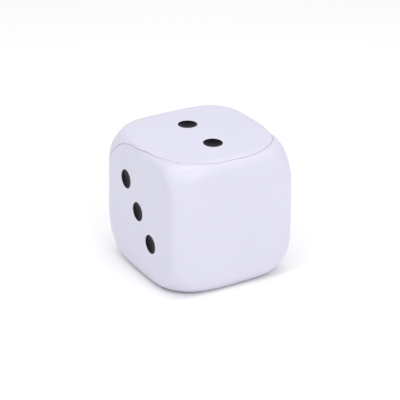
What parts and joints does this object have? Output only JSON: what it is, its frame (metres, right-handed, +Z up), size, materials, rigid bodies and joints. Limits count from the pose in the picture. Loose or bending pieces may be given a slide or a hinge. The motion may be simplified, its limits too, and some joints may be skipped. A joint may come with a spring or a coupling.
{
  "type": "giant yard die",
  "caption": "Large soft cube die with well rounded edges: a foam core under two moulded skins, dished black pips set into five faces and one blank face.",
  "frame": {"origin": "middle of the underside, where the die stands on its five-pip face", "axes": "+Z up through the two-pip face, -Y out of the blank face, -X out of the three-pip face"},
  "size_m": [0.15, 0.15, 0.15],
  "materials": {
    "skin": "smooth satin polyurethane skin, very slightly lavender white",
    "pip": "satin black, smooth and dished",
    "foam": "fine-celled flexible foam, matt cream"
  },
  "bodies": {
    "root": {"foam_core": "foam", "skin_upper": "skin", "skin_lower": "skin", "pip_two_1": "pip", "pip_two_2": "pip", "pip_three_1": "pip", "pip_three_2": "pip", "pip_three_3": "pip", "pip_four_1": "pip", "pip_four_2": "pip", "pip_four_3": "pip", "pip_four_4": "pip", "pip_five_1": "pip", "pip_five_2": "pip", "pip_five_3": "pip", "pip_five_4": "pip", "pip_five_5": "pip", "pip_six_1": "pip", "pip_six_2": "pip", "pip_six_3": "pip", "pip_six_4": "pip", "pip_six_5": "pip", "pip_six_6": "pip"}
  },
  "joints": []
}
